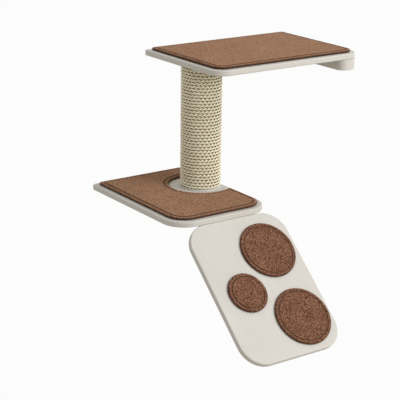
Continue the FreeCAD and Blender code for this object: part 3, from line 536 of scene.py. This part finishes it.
def stitch_row(name, outline, height, place):
    """The row of thread dashes in the groove of a felt piece."""
    loop = [Vector((x, y, height * MM)) for x, y in outline(STITCH_INSET * MM)]
    loop.append(loop[0])
    reach = [0.0]
    for a, b in zip(loop, loop[1:]):
        reach.append(reach[-1] + (b - a).length)
    dashes = round(reach[-1] / (STITCH_PITCH * MM))

    def at(distance):
        distance %= reach[-1]
        k = min(int(np.searchsorted(reach, distance, side="right")) - 1, len(loop) - 2)
        return loop[k].lerp(loop[k + 1], (distance - reach[k]) / max(reach[k + 1] - reach[k], 1e-9))

    points = []
    faces = []
    sides = STITCH_SIDES
    for dash in range(dashes):
        middle = (dash + 0.5) * reach[-1] / dashes
        base = len(points)
        sway = rng.uniform(-0.08, 0.08) * MM
        for along, thick, lift in STITCH_SHAPE:
            here = at(middle + along * MM)
            ahead = (at(middle + (along + 0.2) * MM) - here).normalized()
            across = Vector((-ahead.y, ahead.x, 0))
            for k in range(sides):
                turn = TURN * k / sides
                points.append(here + across * (math.cos(turn) * thick * MM + sway)
                              + Vector((0, 0, (math.sin(turn) * thick + lift) * MM)))
        for ring in range(len(STITCH_SHAPE) - 1):
            for k in range(sides):
                low, ahead = base + ring * sides + k, base + ring * sides + (k + 1) % sides
                faces.append((ahead, low, low + sides, ahead + sides))
        faces.append(tuple(base + k for k in range(sides)))
        faces.append(tuple(base + (len(STITCH_SHAPE) - 1) * sides + k for k in reversed(range(sides))))
    return mesh_object(name, [place @ point for point in points], faces, thread)


print("points in one dash:", STITCH_SIDES * len(STITCH_SHAPE))

# %% [markdown]
# ## The two mats
#
# Each mat is a rectangle with large round corners at the front and small ones at the wall. The
# lower mat has a round bite on its right side, where the post stands. Moving the outline inward
# makes every corner smaller and the bite larger, so one function gives the loop at any inset. Its
# place is read from the solid that the mat stands for.

# %% The two mats
# Plan radii in mm: the mats' corners, and the bite round the post.
FRONT_CORNER = {"upper_mat": 29, "lower_mat": 51}
REAR_CORNER = 9
BITE_RADIUS = 87
post_low, post_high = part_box("post_rope")
post_x, post_y = (post_low[0] + post_high[0]) / 2, (post_low[1] + post_high[1]) / 2


def mat_outline(node, bite=None):
    """The mat's loop at any inset, counter-clockwise from its front left corner."""
    low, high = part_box(node)

    def outline(inset):
        x0, x1, y0, y1 = low[0] + inset, high[0] - inset, low[1] + inset, high[1] - inset
        f = FRONT_CORNER[node] * MM - inset
        r = max(REAR_CORNER * MM - inset, 0.6 * MM)
        loop = arc((x0 + f, y0 + f), f, math.pi, 1.5 * math.pi, 16)
        loop += straight((x0 + f, y0), (x1 - f, y0), 40)
        loop += arc((x1 - f, y0 + f), f, 1.5 * math.pi, TURN, 16)
        if bite:
            reach = bite + inset
            half = math.pi - math.acos((x1 - post_x) / reach)
            rise = reach * math.sin(half)
            loop += straight((x1, y0 + f), (x1, post_y - rise), 14)
            loop += arc((post_x, post_y), reach, math.pi + half, math.pi - half, 72)
            loop += straight((x1, post_y + rise), (x1, y1 - r), 8)
        else:
            loop += straight((x1, y0 + f), (x1, y1 - r), 30)
        loop += arc((x1 - r, y1 - r), r, 0, 0.5 * math.pi, 6)
        loop += straight((x1 - r, y1), (x0 + r, y1), 40)
        loop += arc((x0 + r, y1 - r), r, 0.5 * math.pi, math.pi, 6)
        loop += straight((x0, y1 - r), (x0, y0 + f), 40)
        return loop

    return outline


for node, bite in (("upper_mat", None), ("lower_mat", BITE_RADIUS * MM)):
    outline = mat_outline(node, bite)
    place = Matrix.Translation((0, 0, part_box(node)[0][2]))
    mat = felt_piece(node + "_felt", node, outline, MAT_PROFILE, place, mat_felt, 9, 0.4)
    row = stitch_row(node + "_stitches", outline, MAT_STITCH_HEIGHT, place)
    print(mat.name, "faces:", len(mat.data.polygons), "stitch points:", len(row.data.vertices))

# %% [markdown]
# ## The three ramp pads
#
# A pad is round, a little crowned, and lies on the slope. Its centre and size are read from the box
# round its solid. The box of a tilted disc has the disc's middle at its own middle, and is as wide
# as the disc. Turning by the ramp's slope about X then lays the pad on the ramp.

# %% The three ramp pads
FELT_THICKNESS = 5
for node in ("ramp_pad_upper", "ramp_pad_small", "ramp_pad_lower"):
    low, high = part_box(node)
    radius = (high[0] - low[0]) / 2
    middle = Vector([(a + b) / 2 for a, b in zip(low, high)])
    place = (Matrix.Translation(middle) @ Matrix.Rotation(RAMP_SLOPE, 4, "X")
             @ Matrix.Translation((0, 0, -FELT_THICKNESS / 2 * MM)))

    def outline(inset, radius=radius):
        return arc((0, 0), radius - inset, 0, TURN, 128)

    pad = felt_piece(node + "_pile", node, outline, PAD_PROFILE, place, pad_pile, 6, 0.3, crown=0.8)
    row = stitch_row(node + "_stitches", outline, PAD_STITCH_HEIGHT, place)
    print(pad.name, "radius", round(radius / MM, 1), "mm, faces:", len(pad.data.polygons))

# %% [markdown]
# ## The rope
#
# The rope is 8 mm thick and makes 40 turns round the post. It could be a smooth ridge for each turn
# with a bump texture, but up close that looks like a spring. Real rope shows a row of slanting
# crowns, because its strands twist round each other. Two strands give the bold crowns seen here.
# The lay is the length of one full twist, here about 22 mm. It is set from the crowns: 28.5 of them
# to a turn, so that each row sits half a crown off its neighbours, and the crowns line up in steep
# diagonals as they do on a wound post. Each strand is swept as its own tube: its centre circles the
# rope's centre while the rope circles the post. The first turn lies flat on the base disc and the
# last one flat under the board; between them the climb is shared out, as on a post wound under
# tension. Numpy works out all points at once.

# %% Wind the rope
# All lengths here are in mm. STRAND_OUT and STRAND_UP are how far a strand's centre lies from the
# rope's, away from the post and along it.
ROPE_RADIUS = 4.0
TURNS = 40
CROWNS = 28.5
STRANDS = 2
STRAND_RADIUS = 2.2
STRAND_OUT = 2.7
STRAND_UP = 2.0
STRAND_SIDES = 8
# Distance between two rings of points along the rope.
STEP = 2.2
# The share of a turn in which the first and the last turns climb.
CLIMB_SHARE = 0.2

wind_radius = (post_high[0] - post_low[0]) / 2 / MM - ROPE_RADIUS
lay = STRANDS * TURN * wind_radius / CROWNS
count = int(TURNS * TURN * wind_radius / STEP)
turn = np.linspace(0, TURNS, count)
part = turn - np.minimum(np.floor(turn), TURNS - 1)
along = turn * TURN * wind_radius
late_climb = np.clip((part - 1 + CLIMB_SHARE) / CLIMB_SHARE, 0, 1)
early_climb = np.clip(part / CLIMB_SHARE, 0, 1)
late_climb = late_climb ** 2 * (3 - 2 * late_climb)
early_climb = early_climb ** 2 * (3 - 2 * early_climb)
bottom_share = np.clip(1 - 2 * turn / TURNS, 0, 1)
top_share = np.clip(2 * turn / TURNS - 1, 0, 1)
climb = bottom_share * late_climb + top_share * early_climb + (1 - bottom_share - top_share) * part
pitch = (post_high[2] - post_low[2]) / MM / (TURNS + 1)
height = post_low[2] / MM + pitch * (turn - part + climb + 0.5)


def drift(length, size, seed):
    """A slow random wander along the rope, made of three sine waves."""
    source = random.Random(seed)
    return size / 2 * sum(np.sin(along * TURN / (length * stretch) + source.uniform(0, TURN))
                          for stretch in (1.0, 1.63, 2.71))


angle = TURN / 4 + turn * TURN
outward = np.stack([np.cos(angle), np.sin(angle), np.zeros(count)], axis=1)
upward = np.array([0.0, 0.0, 1.0])
centre = np.stack([post_x / MM + wind_radius * np.cos(angle), post_y / MM + wind_radius * np.sin(angle),
                   height], axis=1)
centre = centre + outward * drift(140, 0.18, 1)[:, None] + upward * drift(190, 0.2, 2)[:, None]
print("rope length:", round(along[-1] / 1000, 2), "m in", TURNS, "turns, lay", round(lay, 1), "mm")

# %% Sweep the strands
points = []
crest_highlight_and_groove_shade = []
faces = []
map_points = []
for strand in range(STRANDS):
    twist = TURN * along / lay + strand * TURN / STRANDS + drift(160, 0.25, 3)
    middle = centre + (STRAND_OUT * np.cos(twist)[:, None] * outward
                       + STRAND_UP * np.sin(twist)[:, None] * upward)
    thick = STRAND_RADIUS * (1 + drift(37, 0.05, 10 + strand))
    round_strand = twist[:, None] + np.arange(STRAND_SIDES) * TURN / STRAND_SIDES
    sideways = (np.cos(round_strand)[..., None] * outward[:, None, :]
                + np.sin(round_strand)[..., None] * upward)
    ring = middle[:, None, :] + thick[:, None, None] * sideways
    base = strand * count * STRAND_SIDES
    points.append(ring.reshape(-1, 3) * MM)
    proud = ((ring - centre[:, None, :]) * outward[:, None, :]).sum(axis=2)
    # Painted light: points deep between strands and turns get the groove colour as painted shade, and the
    # outermost crests a painted highlight.
    painted_crest_highlight = np.clip((np.cos(twist) - 0.25) / 0.6, 0, 1)[:, None]
    crest_highlight_and_groove_shade.append((np.clip((proud + 1.4) / 2.8, 0, 1) * (0.8 + 0.2 * painted_crest_highlight)).ravel())
    i, k = np.meshgrid(np.arange(count - 1), np.arange(STRAND_SIDES), indexing="ij")
    k_next = (k + 1) % STRAND_SIDES
    quad = np.stack([i * STRAND_SIDES + k, i * STRAND_SIDES + k_next, (i + 1) * STRAND_SIDES + k_next,
                     (i + 1) * STRAND_SIDES + k], axis=-1).reshape(-1, 4)
    faces.append(base + quad)
    u0, u1 = along[i] + 97 * strand, along[i + 1] + 97 * strand
    v0 = k * TURN * STRAND_RADIUS / STRAND_SIDES
    v1 = v0 + TURN * STRAND_RADIUS / STRAND_SIDES
    map_points.append(np.stack([u0, v0, u0, v1, u1, v1, u1, v0], axis=-1).reshape(-1, 2))
points = np.concatenate(points)
crest_highlight_and_groove_shade = np.concatenate(crest_highlight_and_groove_shade)
faces = np.concatenate(faces)
map_points = np.concatenate(map_points)
print("strand points:", len(points), "quads:", len(faces))

# %% [markdown]
# The arrays go into the mesh in one call each, which takes a second where a Python loop takes a
# minute. Each strand's two ends are closed with one face.

# %% Make the rope's mesh
ends = [base + np.arange(STRAND_SIDES)[::-1 if last else 1]
        for strand in range(STRANDS)
        for last, base in ((False, strand * count * STRAND_SIDES),
                           (True, ((strand + 1) * count - 1) * STRAND_SIDES))]
mesh = bpy.data.meshes.new("post_rope_strands")
mesh.from_pydata(points.tolist(), [], faces[:, ::-1].tolist() + [end.tolist() for end in ends])
strand_map = mesh.uv_layers.new(name="strand")
corners = np.zeros((len(mesh.loops), 2))
corners[:len(map_points)] = map_points.reshape(-1, 4, 2)[:, ::-1].reshape(-1, 2)
strand_map.data.foreach_set("uv", corners.ravel())
mesh.attributes.new("crown", "FLOAT", "POINT").data.foreach_set("value", crest_highlight_and_groove_shade)
mesh.materials.append(sisal)
mesh.shade_smooth()
rope = bpy.data.objects.new("post_rope_strands", mesh)
bpy.context.scene.collection.objects.link(rope)
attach(rope, "root")
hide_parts("post_rope")
print(rope.name, "faces:", len(mesh.polygons))

# %% [markdown]
# ## Floor and light
#
# The tree hangs on a wall, so the floor is well below it, and plain. It is shown almost white to the
# camera, and keeps a faint soft shadow. The trick is Light Path's Is Camera Ray: what the camera
# sees directly is mostly a white glow, while light that bounces off the floor onto the tree still
# comes from an ordinary matt surface. The same goes for the world around it. Two square lamps stand
# on the photographer's right. The key lamp is high and gives the boards' tops their light. The low
# lamp is near the height of the post and reaches the rope, which the upper board would otherwise
# keep in shade.

# %% Floor
FLOOR_HEIGHT = -0.9
FLOOR_REACH = 8.0
# How much of what the camera sees of the floor is glow; the rest keeps the shadow.
GLOW_SHARE = 0.96
floor_mesh = bpy.data.meshes.new("floor")
floor_mesh.from_pydata([(-FLOOR_REACH, -FLOOR_REACH, FLOOR_HEIGHT), (FLOOR_REACH, -FLOOR_REACH, FLOOR_HEIGHT),
                        (FLOOR_REACH, FLOOR_REACH, FLOOR_HEIGHT), (-FLOOR_REACH, FLOOR_REACH, FLOOR_HEIGHT)],
                       [], [(0, 1, 2, 3)])
floor = bpy.data.objects.new("floor", floor_mesh)
bpy.context.scene.collection.objects.link(floor)
floor_paint, shader = start("white_floor_paint", Roughness=0.8, Base_Color=linear("#C8C4BC"))
rays = add(floor_paint, "ShaderNodeLightPath").outputs
seen = add(floor_paint, "ShaderNodeMath", {"operation": "MAXIMUM"}, i0=rays["Is Camera Ray"],
           i1=rays["Is Glossy Ray"]).outputs[0]
seen = add(floor_paint, "ShaderNodeMath", {"operation": "MAXIMUM"}, i0=seen,
           i1=rays["Is Transmission Ray"]).outputs[0]
share = add(floor_paint, "ShaderNodeMath", {"operation": "MULTIPLY"}, i0=seen, i1=GLOW_SHARE).outputs[0]
glow = add(floor_paint, "ShaderNodeEmission", Color=linear("#FFFFFF"), Strength=1.0).outputs[0]
surface = add(floor_paint, "ShaderNodeMixShader", i0=share, i1=shader.outputs[0], i2=glow).outputs[0]
output = floor_paint.node_tree.nodes["Material Output"]
floor_paint.node_tree.links.new(surface, output.inputs["Surface"])
floor_mesh.materials.append(floor_paint)

# %% World and lamps
ROOM_STRENGTH = 0.57
LAMP_SIZE = 1.0
LAMP_AIM = (-0.1, -0.3, -0.2)
world = bpy.data.worlds.new("studio")
bpy.context.scene.world = world
world.use_nodes = True
world.node_tree.nodes.clear()
rays = add(world, "ShaderNodeLightPath").outputs
seen = add(world, "ShaderNodeMath", {"operation": "MAXIMUM"}, i0=rays["Is Camera Ray"],
           i1=rays["Is Glossy Ray"]).outputs[0]
seen = add(world, "ShaderNodeMath", {"operation": "MAXIMUM"}, i0=seen,
           i1=rays["Is Transmission Ray"]).outputs[0]
room = add(world, "ShaderNodeBackground", Color=linear("#FFFBF3"), Strength=ROOM_STRENGTH).outputs[0]
white = add(world, "ShaderNodeBackground", Color=linear("#FFFFFF"), Strength=1.0).outputs[0]
shown = add(world, "ShaderNodeMixShader", i0=seen, i1=room, i2=white).outputs[0]
add(world, "ShaderNodeOutputWorld", Surface=shown)


def softbox(name, place, aim, size, power):
    """A square area lamp at place, turned to face aim."""
    lamp = bpy.data.lights.new(name, "AREA")
    lamp.size = size
    lamp.energy = power
    stand = bpy.data.objects.new(name, lamp)
    bpy.context.scene.collection.objects.link(stand)
    stand.location = place
    stand.rotation_euler = (Vector(aim) - Vector(place)).to_track_quat("-Z", "Y").to_euler()
    return stand


key_lamp = softbox("key_lamp", (1.51, -2.22, 2.79), LAMP_AIM, LAMP_SIZE, 30)
low_lamp = softbox("low_lamp", (1.45, -3.62, 1.13), LAMP_AIM, LAMP_SIZE, 55)
for lamp in (key_lamp, low_lamp):
    print(lamp.name, lamp.data.energy, "W, at height", round(lamp.location.z, 2), "m")

# %% [markdown]
# ## Camera
#
# The camera stands where the photographer's did. Its place, direction and lens were solved from the
# straight edges of the boards: a long lens, 3.6 m away, looking down by 18 degrees from the left.

# %% Camera
LENS = 116.22
STAND = (-2.10872, -2.91684, 0.71375)
YAW, TILT, ROLL = 35.0854, 17.8146, 0.6440
camera_data = bpy.data.cameras.new("camera")
camera_data.sensor_width = 36.0
camera_data.lens = LENS
camera = bpy.data.objects.new("camera", camera_data)
bpy.context.scene.collection.objects.link(camera)
yaw, pitch_down, roll = math.radians(YAW), math.radians(TILT), math.radians(ROLL)
ahead = Vector((math.sin(yaw) * math.cos(pitch_down), math.cos(yaw) * math.cos(pitch_down),
                -math.sin(pitch_down)))
right = Vector((math.cos(yaw), -math.sin(yaw), 0))
up = right.cross(ahead)
right, up = right * math.cos(roll) + up * math.sin(roll), up * math.cos(roll) - right * math.sin(roll)
camera.matrix_world = Matrix.Translation(STAND) @ Matrix(
    (right, up, -ahead)).transposed().to_4x4()
bpy.context.scene.camera = camera
bpy.context.scene.view_settings.view_transform = "Standard"
print("camera looks along", [round(v, 3) for v in ahead])
